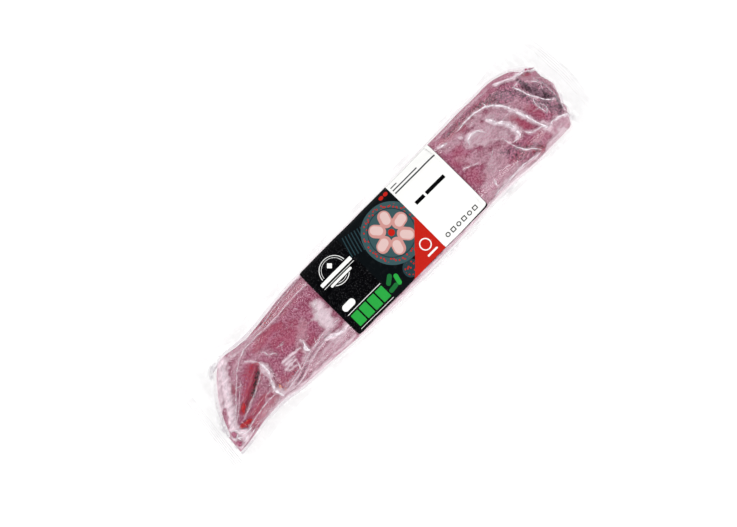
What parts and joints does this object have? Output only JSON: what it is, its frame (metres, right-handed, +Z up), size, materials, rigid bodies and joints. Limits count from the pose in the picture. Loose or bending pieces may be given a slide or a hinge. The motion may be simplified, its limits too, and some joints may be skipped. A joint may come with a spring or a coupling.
{
  "type": "vacuum packed raw pork tenderloin",
  "caption": "Raw pork tenderloin sealed tight in a clear vacuum bag with flat sealed margins and a printed paper label across its middle.",
  "frame": {"origin": "middle of the bag's outline seen from above, on the surface that the pack lies on", "axes": "+X from the thin tail to the thick head of the tenderloin, +Y across the pack away from the viewer, +Z up out of the label"},
  "size_m": [0.355, 0.08, 0.0406],
  "materials": {
    "meat_in_film": "raw pink pork seen through glossy clear film with pale folds",
    "clear_film": "clear glossy vacuum film, milky in its folds and seals",
    "meat_juice": "wet dark red meat juice",
    "printed_label": "coated paper printed in black, white, red and green fields"
  },
  "bodies": {
    "root": {"sealed_bag": "meat_in_film", "label": "printed_label"}
  },
  "joints": []
}
